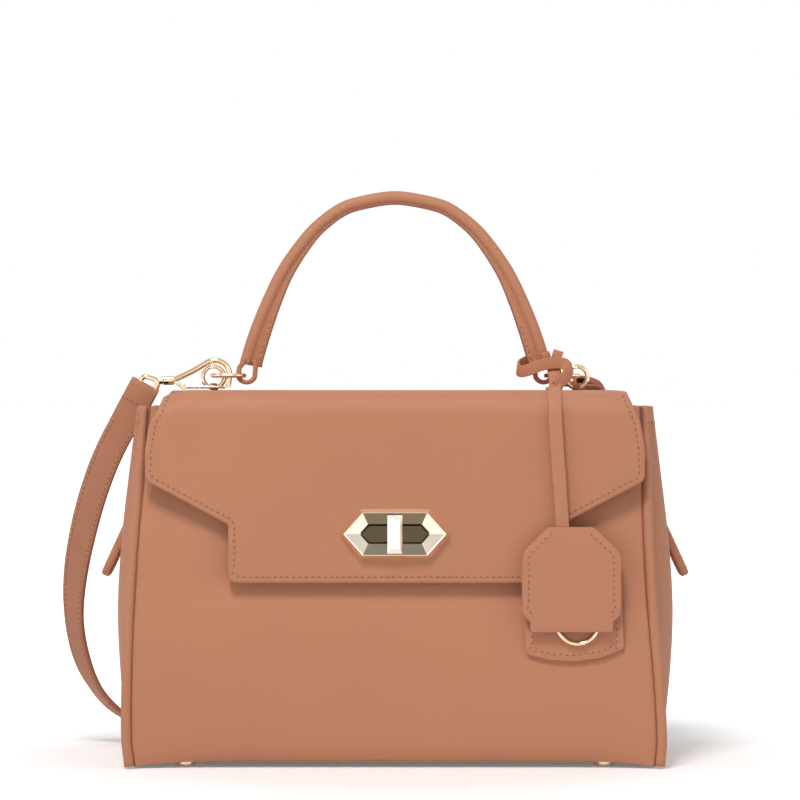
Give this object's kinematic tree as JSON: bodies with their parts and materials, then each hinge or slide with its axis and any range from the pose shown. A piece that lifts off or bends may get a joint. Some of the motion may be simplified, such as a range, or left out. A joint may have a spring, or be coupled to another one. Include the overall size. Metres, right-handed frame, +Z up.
{
  "type": "top handle bag",
  "caption": "Structured leather bag with a front flap, hexagonal turn lock, rolled top handle on links, snap-hooked shoulder strap, folded gussets and a hang tag.",
  "frame": {"origin": "middle of the bag's footprint, on the floor under the feet", "axes": "+X to the right of a person looking at the lock, +Y to the back, +Z up"},
  "size_m": [0.3261, 0.1585, 0.2898],
  "materials": {
    "tan_leather": "smooth satin",
    "lining_fabric": "woven lining",
    "gold_metal": "polished pale gold plate",
    "dark_metal": "polished, dark by reflection",
    "base_board": "matte stiffener",
    "zip_tape": "woven tape"
  },
  "bodies": {
    "bag_body": {"front_panel": "tan_leather", "back_panel": "tan_leather", "left_gusset": "tan_leather", "right_gusset": "tan_leather", "front_welt": "tan_leather", "back_welt": "tan_leather", "base_panel": "tan_leather", "base_board": "base_board", "base_feet": "gold_metal", "foot_washers": "gold_metal", "lining": "lining_fabric", "inner_pocket": "lining_fabric", "lock_boss_plate": "gold_metal", "lock_boss": "dark_metal", "front_zip_facing": "tan_leather", "back_zip_facing": "tan_leather", "front_zip_tape": "zip_tape", "back_zip_tape": "zip_tape", "zip_slider": "gold_metal", "zip_tails": "tan_leather", "zip_end_tabs": "tan_leather", "hinge_strip": "tan_leather", "strap_left": "tan_leather", "strap_floor": "tan_leather", "strap_right": "tan_leather"},
    "flap": {"flap_outer": "tan_leather", "flap_lining": "lining_fabric", "flap_hinge_roll": "tan_leather", "lock_frame": "gold_metal", "lock_frame_back": "gold_metal", "lock_frame_screws": "gold_metal", "left_ring_tab": "tan_leather", "right_ring_tab": "tan_leather", "left_base_ring": "gold_metal", "right_base_ring": "gold_metal", "left_hook": "gold_metal", "right_hook": "gold_metal", "gate_pins": "gold_metal", "tag_strap_top": "tan_leather"},
    "handle": {"handle_cover": "tan_leather", "handle_core": "tan_leather", "handle_flange": "tan_leather", "left_handle_loop": "tan_leather", "right_handle_loop": "tan_leather", "left_link": "gold_metal", "right_link": "gold_metal", "tag_hitch": "tan_leather"},
    "turn_knob": {"turn_knob": "gold_metal"},
    "tag": {"tag_strap_drop": "tan_leather", "tag_front": "tan_leather", "tag_back": "tan_leather"},
    "key_ring": {"key_ring": "gold_metal"},
    "left_gate": {"left_gate": "gold_metal"},
    "right_gate": {"right_gate": "gold_metal"},
    "left_eye": {"left_swivel_eye": "gold_metal", "left_strap_end": "tan_leather"},
    "right_eye": {"right_swivel_eye": "gold_metal", "right_strap_end": "tan_leather"},
    "zip_pull": {"zip_pull": "gold_metal"}
  },
  "joints": [
    {"name": "flap_open", "type": "hinge", "parent": "bag_body", "child": "flap", "pos_m": [0, 0.0396, 0.1864], "axis": [-1, 0, 0], "range_deg": [0, 100], "deforming": ["strap_left", "strap_floor", "strap_right"]},
    {"name": "handle_swing", "type": "hinge", "parent": "flap", "child": "handle", "pos_m": [0, -0.008, 0.1955], "axis": [1, 0, 0], "range_deg": [-35, 30]},
    {"name": "knob_turn", "type": "hinge", "parent": "bag_body", "child": "turn_knob", "pos_m": [0, -0.06, 0.1165], "axis": [0, -1, 0], "range_deg": [0, 90]},
    {"name": "tag_lift", "type": "hinge", "parent": "flap", "child": "tag", "pos_m": [0.0795, -0.0579, 0.171], "axis": [-1, 0, 0], "range_deg": [0, 60]},
    {"name": "key_ring_swing", "type": "hinge", "parent": "tag", "child": "key_ring", "pos_m": [0.0905, -0.05915, 0.0829], "axis": [0, -1, 0], "range_deg": [-12, 12]},
    {"name": "left_gate_press", "type": "hinge", "parent": "flap", "child": "left_gate", "pos_m": [-0.10824, -0.0094, 0.1896], "axis": [0, -1, 0], "range_deg": [0, 9], "stiffness_Nm_per_rad": 0.02, "springref_deg": -17.19},
    {"name": "right_gate_press", "type": "hinge", "parent": "flap", "child": "right_gate", "pos_m": [0.0846, 0.0172, 0.1896], "axis": [-1, 0, 0], "range_deg": [0, 9], "stiffness_Nm_per_rad": 0.02, "springref_deg": -17.19},
    {"name": "left_swivel", "type": "hinge", "parent": "flap", "child": "left_eye", "pos_m": [-0.11854, -0.0094, 0.193], "axis": [-1, 0, 0], "range_deg": [-15, 15]},
    {"name": "right_swivel", "type": "hinge", "parent": "flap", "child": "right_eye", "pos_m": [0.0846, 0.0275, 0.193], "axis": [0, 1, 0], "range_deg": [-15, 4]},
    {"name": "zip_pull_swing", "type": "hinge", "parent": "bag_body", "child": "zip_pull", "pos_m": [-0.0835, -0.01743, 0.1741], "axis": [1, 0, 0], "range_deg": [0, 60]}
  ]
}
